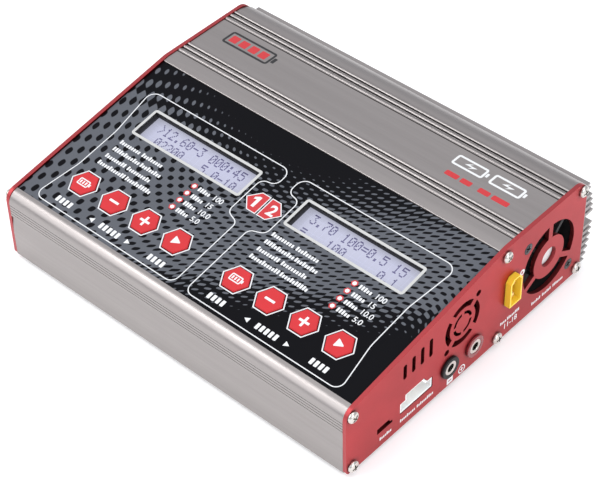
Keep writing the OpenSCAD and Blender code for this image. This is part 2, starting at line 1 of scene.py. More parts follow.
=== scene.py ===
"""Looks of the twin-channel battery charger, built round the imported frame.

Lengths are metres. Sizes given in millimetres are multiplied by MM. The case frame has
x = 0 midway between the end plates, y = 0 at the front face and z = 0 at the underside
of the plates. The deck frame lies on the sloping overlay: x along the case, y up the
slope from the overlay's upper edge (so points on the deck have negative y), z outwards.
"""
import json
import math
import random

import bmesh
import bpy
from mathutils import Matrix, Vector

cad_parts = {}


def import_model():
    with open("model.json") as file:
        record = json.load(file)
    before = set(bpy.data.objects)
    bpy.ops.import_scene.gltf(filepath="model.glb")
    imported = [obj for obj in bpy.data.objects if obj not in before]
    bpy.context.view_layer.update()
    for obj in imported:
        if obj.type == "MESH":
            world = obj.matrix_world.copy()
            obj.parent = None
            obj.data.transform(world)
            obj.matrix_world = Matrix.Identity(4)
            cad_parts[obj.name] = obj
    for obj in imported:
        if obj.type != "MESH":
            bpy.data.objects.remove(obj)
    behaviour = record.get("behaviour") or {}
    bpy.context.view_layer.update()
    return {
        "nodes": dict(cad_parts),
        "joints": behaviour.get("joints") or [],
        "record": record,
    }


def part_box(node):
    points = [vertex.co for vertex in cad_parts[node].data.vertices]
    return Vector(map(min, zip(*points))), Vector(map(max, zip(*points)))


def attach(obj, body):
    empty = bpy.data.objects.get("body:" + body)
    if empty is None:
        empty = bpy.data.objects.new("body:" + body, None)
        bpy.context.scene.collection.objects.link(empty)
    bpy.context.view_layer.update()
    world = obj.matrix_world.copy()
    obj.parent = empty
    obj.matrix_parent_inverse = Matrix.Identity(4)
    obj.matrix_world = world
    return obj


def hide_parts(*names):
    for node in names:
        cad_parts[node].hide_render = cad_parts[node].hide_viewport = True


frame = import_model()

MM = 0.001
CASE = "case"

# ---------------------------------------------------------------- places

PLATE_LO, PLATE_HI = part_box("right_end_plate")
HALF_W = PLATE_HI.x / MM
TOP_Z = (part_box("upper_shell")[1].z - PLATE_LO.z) / MM - 0.35
OVERLAY_T = 0.5 * MM
PRESS_AXIS = next(j["axis"] for j in frame["joints"] if j["name"] == "right_start_key_press")
TILT = math.atan2(PRESS_AXIS[1], -PRESS_AXIS[2])


def case(x, y, z):
    """Point of the case frame, given in millimetres."""
    return Vector((x * MM, PLATE_LO.y + y * MM, PLATE_LO.z + z * MM))


_overlay_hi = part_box("deck_overlay")[1]
DECK_ORIGIN = Vector((0, _overlay_hi.y - OVERLAY_T * math.sin(TILT), _overlay_hi.z))
DECK = Matrix.Translation(DECK_ORIGIN) @ Matrix.Rotation(TILT, 4, "X")
TOP = Matrix.Translation(case(0, 0, TOP_Z))
# Frame on the outer face of the right plate: local x is the case's y, local y its z
RIGHT_FACE = Matrix.Translation(case(HALF_W, 0, 0)) @ Matrix(
    ((0, 0, 1, 0), (1, 0, 0, 0), (0, 1, 0, 0), (0, 0, 0, 1)))
# The same on the left plate, where local x runs towards the front
LEFT_FACE = Matrix.Translation(case(-HALF_W, 0, 0)) @ Matrix(
    ((0, 0, -1, 0), (-1, 0, 0, 0), (0, 1, 0, 0), (0, 0, 0, 1)))

CHANNEL_X = 46.2
WINDOW = (63.6, 14.4)
WINDOW_S = 32.4
KEY_PITCH = 19.0
KEY_S = 75.0
KEY_FLATS = 11.5
SIDES = (("left", -1), ("right", 1))
KEYS = ("battery", "minus", "plus", "start")


def deck_height(node):
    """Highest point of a CAD node over the deck, in millimetres."""
    inverse = DECK.inverted()
    return max((inverse @ v.co).z for v in frame["nodes"][node].data.vertices) / MM


# ---------------------------------------------------------------- materials

class Material:
    """A Principled material with helpers that add and join nodes."""

    def __init__(self, name, color, rough, metal=0.0, **shader):
        self.mat = bpy.data.materials.new(name)
        self.mat.use_nodes = True
        self.tree = self.mat.node_tree
        self.shader = self.tree.nodes["Principled BSDF"]
        self.put(self.shader, "Base Color", (*color, 1.0))
        self.put(self.shader, "Roughness", rough)
        self.put(self.shader, "Metallic", metal)
        for key, value in shader.items():
            self.put(self.shader, key.replace("_", " "), value)
        self.coords = self.node("TexCoord").outputs["Object"]

    def put(self, node, socket, value):
        """Set a socket to a value, or link another node's output to it."""
        target = node.inputs[socket]
        if isinstance(value, bpy.types.NodeSocket):
            self.tree.links.new(value, target)
        else:
            target.default_value = value

    def node(self, kind, inputs=None, **props):
        made = self.tree.nodes.new("ShaderNode" + kind)
        for key, value in props.items():
            setattr(made, key, value)
        for key, value in (inputs or {}).items():
            self.put(made, key, value)
        return made

    def math(self, operation, a, b=0.0, c=0.0):
        return self.node("Math", {0: a, 1: b, 2: c}, operation=operation).outputs[0]

    def noise(self, scale, detail, stretch=(1, 1, 1)):
        vector = self.node("Mapping", {"Vector": self.coords, "Scale": stretch}).outputs[0]
        return self.node("TexNoise", {"Vector": vector, "Scale": scale, "Detail": detail}).outputs["Fac"]

    def spread(self, value, low, high, from_low=0.3, from_high=0.7):
        """Map a factor to a range."""
        made = self.node("MapRange", {"Value": value, "From Min": from_low, "From Max": from_high,
                                      "To Min": low, "To Max": high})
        return made.outputs[0]

    def mix(self, factor, a, b, blend="MIX"):
        made = self.node("Mix", data_type="RGBA", blend_type=blend)
        for index, value in ((0, factor), (6, a), (7, b)):
            if isinstance(value, tuple):
                value = (*value, 1.0)
            self.put(made, index, value)
        return made.outputs[2]

    def dimmed(self, color, factor):
        """A colour times a factor."""
        grey = self.node("CombineXYZ", {0: factor, 1: factor, 2: factor}).outputs[0]
        return self.mix(1.0, color, grey, "MULTIPLY")

    def painted_hollow_shade(self, color, reach, alone):
        """The colour with painted shade: darker in grooves and corners narrower than reach in millimetres."""
        made = self.node("AmbientOcclusion", {"Distance": reach * MM}, samples=8, only_local=alone)
        return self.dimmed(color, self.math("POWER", made.outputs["AO"], 1.5))

    def on_deck(self):
        """Coordinates of the deck frame, in metres."""
        return self.node("Mapping", {"Vector": self.coords, "Location": DECK_ORIGIN, "Rotation": (TILT, 0, 0)},
                         vector_type="TEXTURE").outputs[0]

    def bump(self, height, strength, distance):
        made = self.node("Bump", {"Height": height, "Strength": strength, "Distance": distance})
        self.put(self.shader, "Normal", made.outputs[0])


def shade(color, factor):
    """A plain colour made lighter or darker."""
    return tuple(min(1.0, c * factor) for c in color)


def aluminium(name, color, rough, along=(0.01, 1, 1)):
    """Extruded satin metal with very fine drawn lines along one axis, wider bands of tone, and painted shade
    in its grooves.
    """
    m = Material(name, color, rough, metal=1.0)
    lines = m.noise(7000, 2, along)
    streaks = m.noise(1700, 2, along)
    cloud = m.noise(30, 2)
    both = m.math("MULTIPLY_ADD", lines, 0.7, m.math("MULTIPLY", streaks, 0.3))
    drawn = m.mix(m.spread(both, 0.0, 1.0), shade(color, 0.95), shade(color, 1.045))
    broad = m.math("MULTIPLY", m.noise(60, 1, along), 0.22)
    bands = m.math("MULTIPLY_ADD", m.noise(420, 2, along), 0.16, broad)
    banded = m.dimmed(drawn, m.math("ADD", bands, 0.81))
    # Painted shade: the colour is darkened in the grooves by an occlusion node.
    m.put(m.shader, "Base Color", m.painted_hollow_shade(banded, reach=1.2, alone=True))
    wobble = m.math("ADD", m.spread(streaks, -0.03, 0.03), m.spread(cloud, -0.02, 0.02))
    m.put(m.shader, "Roughness", m.math("ADD", wobble, rough))
    m.bump(both, 0.08, 0.02 * MM)
    return m.mat


def anodised(name, color, edge, rough):
    """Blasted aluminium sheet, anodised and coloured red, cloudy, with a fine tooth; its cut edges carry a
    paler red as a painted highlight, and its hollows painted shade.
    """
    m = Material(name, color, rough, metal=1.0, Coat_Weight=0.15, Coat_Roughness=0.3)
    tooth = m.noise(4200, 3)
    cloud = m.noise(45, 3)
    face = m.mix(m.spread(cloud, 0.0, 1.0), shade(color, 0.88), shade(color, 1.1))
    normal = m.node("SeparateXYZ", {"Vector": m.node("NewGeometry").outputs["Normal"]})
    facing = m.math("ABSOLUTE", normal.outputs[0])
    # Painted highlight: the cut edges and their roundings, which face away from x, get the paler edge colour.
    edge_highlighted = m.mix(m.spread(facing, 0.0, 1.0, 0.3, 0.75), edge, face)
    # Painted shade in hollows and where other parts stand close, from an occlusion node.
    m.put(m.shader, "Base Color", m.painted_hollow_shade(edge_highlighted, reach=2.5, alone=False))
    m.put(m.shader, "Roughness", m.math("ADD", m.spread(tooth, -0.06, 0.06), rough))
    m.bump(tooth, 0.2, 0.025 * MM)
    return m.mat


def moulded(name, color, rough, tooth_scale=2600, strength=0.18, specular=0.5, variation=0.1, **shader):
    """Moulded plastic or rubber: a spark-eroded tooth, flow clouds, rubbed patches."""
    m = Material(name, color, rough, **shader)
    tooth = m.noise(tooth_scale, 2)
    cloud = m.noise(120, 4)
    dark, light = shade(color, 1 - variation), shade(color, 1 + variation)
    m.put(m.shader, "Base Color", m.mix(m.spread(cloud, 0.0, 1.0), dark, light))
    m.put(m.shader, "Roughness", m.math("ADD", m.spread(cloud, -0.05, 0.05), rough))
    m.put(m.shader, "Specular IOR Level", specular)
    m.bump(tooth, strength, 0.03 * MM)
    return m.mat


def plated(name, color, rough):
    """Plated or turned metal: polishing marks and small variations in gloss."""
    m = Material(name, color, rough, metal=1.0)
    marks = m.noise(1400, 3, (1, 1, 6))
    cloud = m.noise(260, 2)
    m.put(m.shader, "Base Color", m.mix(m.spread(cloud, 0.0, 1.0), shade(color, 0.92), color))
    m.put(m.shader, "Roughness", m.math("ADD", m.spread(marks, -0.05, 0.05), rough))
    m.bump(marks, 0.1, 0.02 * MM)
    return m.mat


def ink(name, color, rough=0.45, glow=0.0):
    """Screen-printed ink with the slight unevenness of the mesh it went through."""
    m = Material(name, color, rough)
    weave = m.noise(2400, 2)
    m.put(m.shader, "Base Color", m.mix(m.spread(weave, 0.0, 1.0), shade(color, 0.9), color))
    m.put(m.shader, "Roughness", m.spread(weave, rough - 0.05, rough + 0.05))
    if glow:
        m.put(m.shader, "Emission Color", (*color, 1.0))
        m.put(m.shader, "Emission Strength", glow)
    m.bump(weave, 0.15, 0.01 * MM)
    return m.mat


def circuit_board(name, color, track):
    """Solder mask over copper: tracks in two directions and pads on a grid."""
    m = Material(name, color, 0.35)
    split = m.node("SeparateXYZ", {"Vector": m.coords})
    bands = m.node("TexBrick", {"Vector": m.coords, "Color1": (*color, 1), "Color2": (*track, 1),
                                "Mortar": (*color, 1), "Scale": 240.0, "Mortar Size": 0.035})
    cells = m.node("TexVoronoi", {"Vector": m.coords, "Scale": 420.0}, feature="F1")
    pads = m.math("LESS_THAN", cells.outputs["Distance"], 0.16)
    mask = m.mix(pads, bands.outputs["Color"], (0.62, 0.6, 0.52))
    m.put(m.shader, "Base Color", m.mix(m.spread(m.noise(160, 2), 0.0, 0.35), mask, color))
    height = m.math("ADD", bands.outputs["Fac"], pads)
    m.put(m.shader, "Roughness", m.spread(split.outputs[0], 0.3, 0.42, -0.1, 0.1))
    m.bump(height, 0.3, 0.04 * MM)
    return m.mat


def wound_copper(name):
    """Enamelled wire in tight turns."""
    m = Material(name, (0.55, 0.24, 0.08), 0.3, metal=0.8, Coat_Weight=0.5)
    wave = m.node("TexWave", {"Vector": m.coords, "Scale": 320.0, "Distortion": 1.5, "Detail": 1.0},
                  wave_type="BANDS", bands_direction="DIAGONAL")
    m.put(m.shader, "Base Color", m.mix(wave.outputs["Fac"], (0.22, 0.08, 0.02), (0.62, 0.28, 0.1)))
    m.bump(wave.outputs["Fac"], 0.8, 0.25 * MM)
    return m.mat


def ring_sleeve(name, color, band):
    """Shrink sleeve with a pale stripe down one side and a fine orange-peel surface."""
    m = Material(name, color, 0.28)
    split = m.node("SeparateXYZ", {"Vector": m.coords})
    stripe = m.math("LESS_THAN", m.math("FRACT", m.math("MULTIPLY", split.outputs[0], 90.0)), 0.16)
    m.put(m.shader, "Base Color", m.mix(m.math("MULTIPLY", stripe, 0.8), color, band))
    m.bump(m.noise(700, 2), 0.25, 0.05 * MM)
    return m.mat


# Course of the dot print along the deck, at shares of its width: upper and lower edge of the
# grey sweep in millimetres down the deck, dot rows per two millimetres, and their shift in rows
SWEEP_UPPER = ((0, 22), (0.15, 30), (0.3, 40), (0.45, 44), (0.55, 40), (0.65, 27), (0.75, 15),
               (0.85, 6), (1, -6))
SWEEP_LOWER = ((0, 130), (0.25, 115), (0.4, 98), (0.5, 88), (0.6, 78), (0.75, 64), (0.85, 56), (1, 40))
ROW_RATE = ((0, 0.165), (0.15, 0.215), (0.3, 0.33), (0.45, 0.51), (0.6, 0.635), (0.75, 0.64), (1, 0.38))
ROW_SHIFT = ((0, 0), (0.15, -5.8), (0.3, -13.9), (0.45, -22.7), (0.56, -24.9), (0.68, -20.5),
             (0.83, -9.0), (1, 2.8))
# Dot columns per two millimetres along and down the deck, and where the screen starts
COLUMN_RATE = (0.275, 0.045)
COLUMN_START, ROW_START = -0.48, 0.21
# Half the width, in the screen's own units, over which a dot's edge fades
DOT_EDGE = 0.09
DECK_SPAN = 200.0
DECK_LEAD = 3.0


def deck_film(name):
    """Printed overlay: a grey sweep breaks up into dots on black.

    The dot screen is the product of two cosines. The columns keep one pitch along the
    deck, while the rows draw together and lean, so that the dots turn from tall to flat.
    A tone field sets how much of each cell is grey.
    """
    black, grey = (0.003, 0.003, 0.0045), (0.106, 0.113, 0.130)
    m = Material(name, black, 0.5, Specular_IOR_Level=0.07)
    split = m.node("SeparateXYZ", {"Vector": m.on_deck()})
    x = m.math("MULTIPLY_ADD", split.outputs[0], 1 / MM, DECK_SPAN / 2)
    v = m.math("MULTIPLY_ADD", split.outputs[1], -1 / MM, DECK_LEAD)
    share = m.math("MULTIPLY", x, 1 / DECK_SPAN)

    def course(points):
        """Smooth curve through (share, value) points along the deck."""
        low = min(value for _, value in points)
        high = max(value for _, value in points)
        made = m.node("FloatCurve", {"Value": share})
        line = made.mapping.curves[0]
        for index, (at, value) in enumerate(points):
            place = (at, (value - low) / (high - low))
            if index in (0, len(points) - 1):
                line.points[0 if index == 0 else -1].location = place
            else:
                line.points.new(*place)
        made.mapping.update()
        return m.math("MULTIPLY_ADD", made.outputs[0], high - low, low)

    # The share of grey grows from the sweep's edges inwards, and black dots stay everywhere
    above, below, most = 28.0, 16.0, 0.66
    rise = m.math("MULTIPLY_ADD", m.math("SUBTRACT", v, course(SWEEP_UPPER)), 0.5 / above, 0.5)
    fall = m.math("MULTIPLY_ADD", m.math("SUBTRACT", course(SWEEP_LOWER), v), 0.5 / below, 0.5)
    tone = m.math("MINIMUM", m.math("MINIMUM", rise, fall), most)

    columns = m.math("MULTIPLY_ADD", x, COLUMN_RATE[0], m.math("MULTIPLY", v, COLUMN_RATE[1]))
    rows = m.math("MULTIPLY_ADD", v, course(ROW_RATE), course(ROW_SHIFT))
    a = m.math("COSINE", m.math("MULTIPLY", m.math("ADD", columns, COLUMN_START), math.pi))
    b = m.math("COSINE", m.math("MULTIPLY", m.math("ADD", rows, ROW_START), math.pi))
    level = m.math("MULTIPLY_ADD", tone, -2.1, 1.05)
    over = m.math("SUBTRACT", m.math("MULTIPLY", a, b), level)
    dot = m.spread(over, 0.0, 1.0, -DOT_EDGE, DOT_EDGE)
    tooth = m.noise(1500, 2)
    print_color = m.mix(dot, black, grey)
    worn = m.mix(1.0, print_color, (0.93, 0.93, 0.93), "MULTIPLY")
    m.put(m.shader, "Base Color", m.mix(m.spread(tooth, 0.0, 1.0), worn, print_color))
    m.put(m.shader, "Roughness", m.spread(tooth, 0.46, 0.54))
    m.bump(m.math("MULTIPLY_ADD", tooth, 0.4, m.math("MULTIPLY", dot, 0.25)), 0.12, 0.02 * MM)
    return m.mat


def display_glass(name):
    """Lit display: lavender field, faint cell grid, cloudy tone."""
    field = (0.50, 0.51, 0.69)
    m = Material(name, field, 0.3, Specular_IOR_Level=0.25)
    grid = m.node("TexBrick", {"Vector": m.on_deck(), "Scale": 1 / (3.5 * MM), "Mortar Size": 0.03,
                               "Color1": (*field, 1), "Color2": (*field, 1), "Mortar": (0.54, 0.555, 0.78, 1),
                               "Brick Width": 1.0, "Row Height": 2.0}, offset=0.0)
    cloud = m.noise(60, 2)
    tint = m.mix(m.spread(cloud, 0.0, 0.35), grid.outputs["Color"], (0.45, 0.46, 0.70))
    m.put(m.shader, "Base Color", m.mix(1.0, tint, (0.4, 0.4, 0.4), "MULTIPLY"))
    m.put(m.shader, "Emission Color", m.mix(1.0, tint, (0.78, 0.78, 0.67), "MULTIPLY"))
    m.put(m.shader, "Emission Strength", 0.88)
    m.put(m.shader, "Roughness", m.spread(cloud, 0.26, 0.34))
    return m.mat


SHELL_METAL = aluminium("brushed_shell", (0.340, 0.314, 0.307), 0.37)
# The second colour is a painted highlight on the plates' cut edges.
PLATE_RED = anodised("red_plate", (0.42, 0.028, 0.034), (0.42, 0.060, 0.066), 0.42)
NICKEL = plated("nickel", (0.66, 0.63, 0.59), 0.22)
GOLD = plated("gold_pins", (0.86, 0.60, 0.22), 0.24)
BRASS = plated("brass", (0.72, 0.55, 0.24), 0.3)
PLAIN_METAL = aluminium("plain_aluminium", (0.7, 0.7, 0.7), 0.38, (1, 1, 0.03))
BLACK_SCREW = plated("black_oxide", (0.055, 0.055, 0.06), 0.3)
BLACK_PLASTIC = moulded("black_plastic", (0.013, 0.013, 0.014), 0.5, specular=0.3)
BLACK_METAL = moulded("black_metal", (0.02, 0.02, 0.023), 0.35, 900)
RED_PLASTIC = moulded("red_plastic", (0.20, 0.020, 0.025), 0.2, Coat_Weight=0.4)
WHITE_PLASTIC = moulded("white_nylon", (0.93, 0.93, 0.92), 0.38, variation=0.04, Subsurface_Weight=0.08)
YELLOW_PLASTIC = moulded("yellow_nylon", (0.92, 0.62, 0.045), 0.33, variation=0.06, Subsurface_Weight=0.06)
KEY_RED = moulded("red_keys", (0.54, 0.024, 0.030), 0.45, 1800, 0.12, 0.3, 0.05)
RUBBER = moulded("rubber", (0.022, 0.022, 0.022), 0.75, 1500, 0.4, 0.25)
LABEL = ink("paper_label", (0.80, 0.78, 0.78), 0.55)
LEADS = moulded("lead_sleeve", (0.45, 0.03, 0.03), 0.5, 1200)
TAPE = moulded("transformer_tape", (0.72, 0.5, 0.08), 0.3, 400, 0.2)
COPPER = wound_copper("copper_coils")
GREEN_BOARD = circuit_board("green_board", (0.02, 0.13, 0.05), (0.045, 0.24, 0.1))
TAN_BOARD = circuit_board("tan_board", (0.45, 0.29, 0.12), (0.56, 0.38, 0.18))
SLEEVE = ring_sleeve("capacitor_sleeve", (0.02, 0.035, 0.1), (0.55, 0.58, 0.62))
FILM = deck_film("deck_print")
SCREEN = display_glass("display")
WHITE_INK = ink("white_ink", (0.76, 0.77, 0.78))
FRAME_INK = ink("frame_ink", (0.54, 0.54, 0.53))
RED_INK = ink("red_ink", (0.54, 0.024, 0.030))
DARK_INK = ink("dark_ink", (0.012, 0.012, 0.014))
PIXEL_INK = ink("display_pixels", (0.095, 0.085, 0.20), 0.4, glow=0.08)

SLOT_MATERIAL = {
    "brushed_shell": SHELL_METAL, "red_plate": PLATE_RED, "nickel_screws": NICKEL, "rubber": RUBBER,
    "deck_print": FILM, "green_board": GREEN_BOARD, "tan_board": TAN_BOARD, "black_metal": BLACK_METAL,
    "display": SCREEN, "black_plastic": BLACK_PLASTIC, "copper_coils": COPPER, "plain_aluminium": PLAIN_METAL,
    "capacitor_sleeves": SLEEVE, "transformer_tape": TAPE, "brass": BRASS, "white_label": LABEL,
    "black_screws": BLACK_SCREW, "red_plastic": RED_PLASTIC, "white_plastic": WHITE_PLASTIC,
    "gold_pins": GOLD, "yellow_plastic": YELLOW_PLASTIC, "lead_sleeves": LEADS, "red_keys": KEY_RED,
}
NODE_SLOT = {row["node"]: row["material_slot"] for row in frame["record"]["subparts"]}
BODY_OF = {n: body for body, names in frame["record"]["behaviour"]["bodies"].items() for n in names}

for node_name, cad in frame["nodes"].items():
    cad.data.materials.clear()
    cad.data.materials.append(SLOT_MATERIAL[NODE_SLOT[node_name]])


# ---------------------------------------------------------------- pieces

def piece(name, mesh, material, body=CASE, matrix=None):
    """Link a mesh as a piece that rides on a body."""
    obj = bpy.data.objects.new(name, mesh)
    bpy.context.scene.collection.objects.link(obj)
    if matrix is not None:
        obj.matrix_world = matrix
    mesh.materials.clear()
    mesh.materials.append(material)
    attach(obj, body)
    return obj


def new_mesh(name, bm, smooth=False):
    mesh = bpy.data.meshes.new(name)
    for face in bm.faces:
        face.smooth = smooth
    bm.to_mesh(mesh)
    bm.free()
    return mesh


def outer_wall(bm):
    """Faces of the side wall round a plate, without those inside its holes."""
    start = max(bm.faces, key=lambda f: (round(f.calc_center_median().z, 5), abs(f.normal.z)))
    wall, stack = {start}, [start]
    while stack:
        for edge in stack.pop().edges:
            for face in edge.link_faces:
                if face not in wall and abs(face.normal.x) < 0.5:
                    wall.add(face)
                    stack.append(face)
    return wall


# An edge between faces that turn more than this is sharp
SHARP = math.radians(28)


def plain_edge(edge):
    """A long edge between two faces that both are wide."""
    length = edge.calc_length()
    return length > 100 * MM and all(f.calc_area() / length > 0.9 * MM for f in edge.link_faces)


def fine(node, bevel, segments=2, rim=None, only=None):
    """Stand-in for a CAD node with the same shape and softened edges.

    With rim, the edges round the outline get that larger width. With only, the other
    sharp edges stay sharp.
    """
    bm = bmesh.new()
    bm.from_mesh(frame["nodes"][node].data)
    bmesh.ops.remove_doubles(bm, verts=bm.verts, dist=1e-6)
    bmesh.ops.dissolve_limit(bm, angle_limit=math.radians(0.4), verts=bm.verts, edges=bm.edges)
    weight = bm.edges.layers.float.new("bevel_weight_edge")
    wall = outer_wall(bm) if rim else set()
    for edge in bm.edges:
        sharp = len(edge.link_faces) == 2 and edge.calc_face_angle() > SHARP
        at_rim = rim and len(wall.intersection(edge.link_faces)) == 1
        if sharp and only and not only(edge):
            edge.smooth = sharp = False
        edge[weight] = (1.0 if at_rim else bevel / (rim or bevel)) if sharp else 0.0
    mesh = new_mesh(node + ".fine", bm, smooth=True)
    if "custom_normal" in mesh.attributes:
        mesh.attributes.remove(mesh.attributes["custom_normal"])
    obj = piece(node + ".fine", mesh, SLOT_MATERIAL[NODE_SLOT[node]], BODY_OF[node])
    edges = obj.modifiers.new("edges", "BEVEL")
    edges.width = (rim or bevel) * MM
    edges.segments = segments
    edges.limit_method = "WEIGHT"
    edges.harden_normals = True
    edges.use_clamp_overlap = True
    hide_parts(node)


for side_name, _ in SIDES:
    fine(f"{side_name}_end_plate", 0.15, 4, rim=0.7)
fine("upper_shell", 0.45, 4, only=plain_edge)
# Widths of the other softened edges, in millimetres
for node_name, width in (
        ("deck_overlay", 0.1), ("rubber_feet", 0.3),
        ("left_display_frame", 0.2), ("right_display_frame", 0.2),
        ("left_fan_frame", 0.25), ("right_fan_frame", 0.25),
        ("negative_socket_collars", 0.3), ("positive_socket_collars", 0.3), ("socket_tubes", 0.25),
        ("left_balance_header", 0.12), ("right_balance_header", 0.12),
        ("temperature_headers", 0.1), ("dc_inlet_housing", 0.3),
        ("mains_inlet_housing", 0.5), ("mains_inlet_blades", 0.2), ("header_pins", 0.08)):
    fine(node_name, width)


# ---------------------------------------------------------------- printed shapes

def rounded(corners, steps=6):
    """Closed outline through corners given as (x, y, radius)."""
    out = []
    count = len(corners)
    for i, (x, y, r) in enumerate(corners):
        here = Vector((x, y))
        to_prev = (Vector(corners[i - 1][:2]) - here).normalized()
        to_next = (Vector(corners[(i + 1) % count][:2]) - here).normalized()
        half = to_prev.angle(to_next) / 2
        if r <= 0 or half > math.radians(89.5):
            out.append(tuple(here))
            continue
        cut = r / math.tan(half)
        centre = here + (to_prev + to_next).normalized() * (r / math.sin(half))
        a = here + to_prev * cut - centre
        b = here + to_next * cut - centre
        turn = a.angle_signed(b)
        for k in range(steps + 1):
            p = a.copy()
            p.rotate(Matrix.Rotation(-turn * k / steps, 2))
            out.append(tuple(centre + p))
    return out


def ring_points(cx, cy, r, steps):
    """Points at even turns round a centre."""
    turns = [math.tau * k / steps for k in range(steps)]
    return [(cx + r * math.cos(turn), cy + r * math.sin(turn)) for turn in turns]


def hexagon(flats, cx, cy):
    return ring_points(cx, cy, flats / math.sqrt(3), 6)


def circle(cx, cy, r):
    return ring_points(cx, cy, r, 40)


def box_outline(x0, y0, x1, y1, r, steps):
    """Rounded rectangle between two opposite corners."""
    return rounded([(x0, y0, r), (x1, y0, r), (x1, y1, r), (x0, y1, r)], steps)


def offset(points, distance):
    """Closed outline moved outwards by distance; the outline runs anticlockwise."""
    out = []
    count = len(points)
    area = sum(points[i - 1][0] * points[i][1] - points[i][0] * points[i - 1][1] for i in range(count))
    side = 1 if area > 0 else -1
    for i in range(count):
        p = Vector(points[i])
        d1 = (p - Vector(points[i - 1])).normalized()
        d2 = (Vector(points[(i + 1) % count]) - p).normalized()
        n1, n2 = Vector((d1.y, -d1.x)), Vector((d2.y, -d2.x))
        n = (n1 + n2).normalized()
        out.append(tuple(p + n * (side * distance / max(0.3, n.dot(n1)))))
    return out


class Print:
    """Flat shapes of one ink, gathered in one mesh and laid on a surface in millimetres."""

    def __init__(self, name, material, matrix, body=CASE, height=0.0, thick=0.02):
        self.name, self.material, self.matrix, self.body = name, material, matrix, body
        self.height, self.thick = height, thick
        self.bm = bmesh.new()

    def vert(self, p):
        return self.bm.verts.new((p[0] * MM, p[1] * MM, self.height * MM))

    def face(self, points):
        self.bm.faces.new([self.vert(p) for p in points])

    def ring(self, inner, outer):
        a, b = [self.vert(p) for p in inner], [self.vert(p) for p in outer]
        for i in range(len(a)):
            self.bm.faces.new((a[i - 1], a[i], b[i], b[i - 1]))

    def outline(self, points, width):
        self.ring(offset(points, -width / 2), offset(points, width / 2))

    def bar(self, x0, y0, x1, y1, r=0.3):
        self.face(box_outline(x0, y0, x1, y1, r, 3))

    def words(self, x, y, lengths, height):
        """A line of small plain blocks in place of lettering; every word starts tall."""
        block, space, gap = 0.43 * height, 0.18 * height, 1.3
        rng = random.Random(round(10 * (sum(lengths) + height)))
        for length in lengths:
            count = max(1, round((length + space) / (block + space)))
            for k in range(count):
                left = x + k * (block + space)
                tall = height if k == 0 or rng.random() < 0.3 else 0.74 * height
                self.bar(left, y, left + block, y + tall, 0.12 * height)
            x += length + gap

    def caption(self, x, y, count, size):
        """A centred row of plain blocks as large as capitals, in place of lettering."""
        width, step = 0.52 * size, 0.78 * size
        for k in range(count):
            left = x + (k - count / 2) * step + (step - width) / 2
            self.bar(left, y - size / 2, left + width, y + size / 2, 0.12 * size)

    def number(self, text, x, y, size, centred=True, bold=0.0):
        """Digits from Blender's own face, added to the mesh."""
        font = bpy.data.curves.new("digits", "FONT")
        font.body = text
        font.size = size * MM
        font.offset = bold * MM
        font.align_x = "CENTER" if centred else "LEFT"
        font.align_y = "CENTER"
        holder = bpy.data.objects.new("digits", font)
        flat = bpy.data.meshes.new_from_object(holder)
        flat.transform(Matrix.Translation((x * MM, y * MM, self.height * MM)))
        self.bm.from_mesh(flat)
        bpy.data.objects.remove(holder)
        bpy.data.curves.remove(font)
        bpy.data.meshes.remove(flat)

    def lay(self):
        bmesh.ops.remove_doubles(self.bm, verts=self.bm.verts, dist=1e-7)
        bmesh.ops.recalc_face_normals(self.bm, faces=self.bm.faces)
        for face in self.bm.faces:
            if face.normal.z < 0:
                face.normal_flip()
        obj = piece(self.name, new_mesh(self.name, self.bm), self.material, self.body, self.matrix)
        layer = obj.modifiers.new("layer", "SOLIDIFY")
        layer.thickness = self.thick * MM
        layer.offset = 1.0


def unit_outline(side):
    """Border round one channel: it bows in on the outside and makes room for the channel sign."""
    half = [(89.3, 19.5, 4.6), (3.5, 19.5, 4.6), (3.5, 29.3, 3.8), (11.1, 30.6, 3.6), (11.1, 52.4, 3.8),
            (3.5, 55.0, 3.4), (3.5, 95.3, 4.0), (89.4, 95.3, 4.0), (85.4, 71.0, 26.0), (85.4, 47.0, 26.0)]
    return rounded([(side * x, 3 - v, r) for x, v, r in half], 8)


white = Print("deck_print_white", WHITE_INK, DECK, thick=0.025)
red = Print("deck_print_red", RED_INK, DECK, thick=0.03)
digits = Print("deck_print_digits", WHITE_INK, DECK, height=0.03, thick=0.02)
frames = Print("deck_print_window_frames", FRAME_INK, DECK, thick=0.025)

# Half of the split hexagon that carries a channel's number: its edges across and down the deck
SIGN_INNER, SIGN_KNEE, SIGN_TIP = 0.8, 5.2, 9.7
SIGN_UPPER, SIGN_MIDDLE, SIGN_LOWER = -33.2, -38.3, -43.5
# Rating lines: lengths of the two words, and the number
RATINGS = ((12.5, 11.6, "100"), (16.0, 12.6, "15"), (12.5, 13.4, "10.0"), (16.0, 14.6, "5.0"))
RATING_TOP, RATING_PITCH, RATING_SIZE = -47.5, 4.75, 2.3
CAPTION_S = -87.7


def window_frame(cx):
    half_w, half_h = WINDOW[0] / 2, WINDOW[1] / 2
    hole = box_outline(cx - half_w, -WINDOW_S - half_h, cx + half_w, -WINDOW_S + half_h, 0.2, 3)
    frames.ring(offset(hole, 0.05), offset(hole, 1.4))


def channel_sign(side):
    half = [(side * x, y) for x, y in (
        (SIGN_INNER, SIGN_UPPER), (SIGN_KNEE, SIGN_UPPER), (SIGN_TIP, SIGN_MIDDLE),
        (SIGN_KNEE, SIGN_LOWER), (SIGN_INNER, SIGN_LOWER))]
    red.face(half if side > 0 else half[::-1])
    white.ring(half, offset(half, 0.45))


def rating_lines(cx):
    """Blocks for the words, a red sign and the number."""
    for k, (first, second, value) in enumerate(RATINGS):
        y = RATING_TOP - k * RATING_PITCH
        white.words(cx - 32.8, y - RATING_SIZE / 2, (first, second), RATING_SIZE)
        red.face(hexagon(3.0, cx + 13.2, y))
        digits.face(hexagon(1.9, cx + 13.2, y))
        white.words(cx + 15.9, y - RATING_SIZE / 2, (6.4,), RATING_SIZE)
        white.number(value, cx + 24.4, y, 3.9, centred=False, bold=0.05)


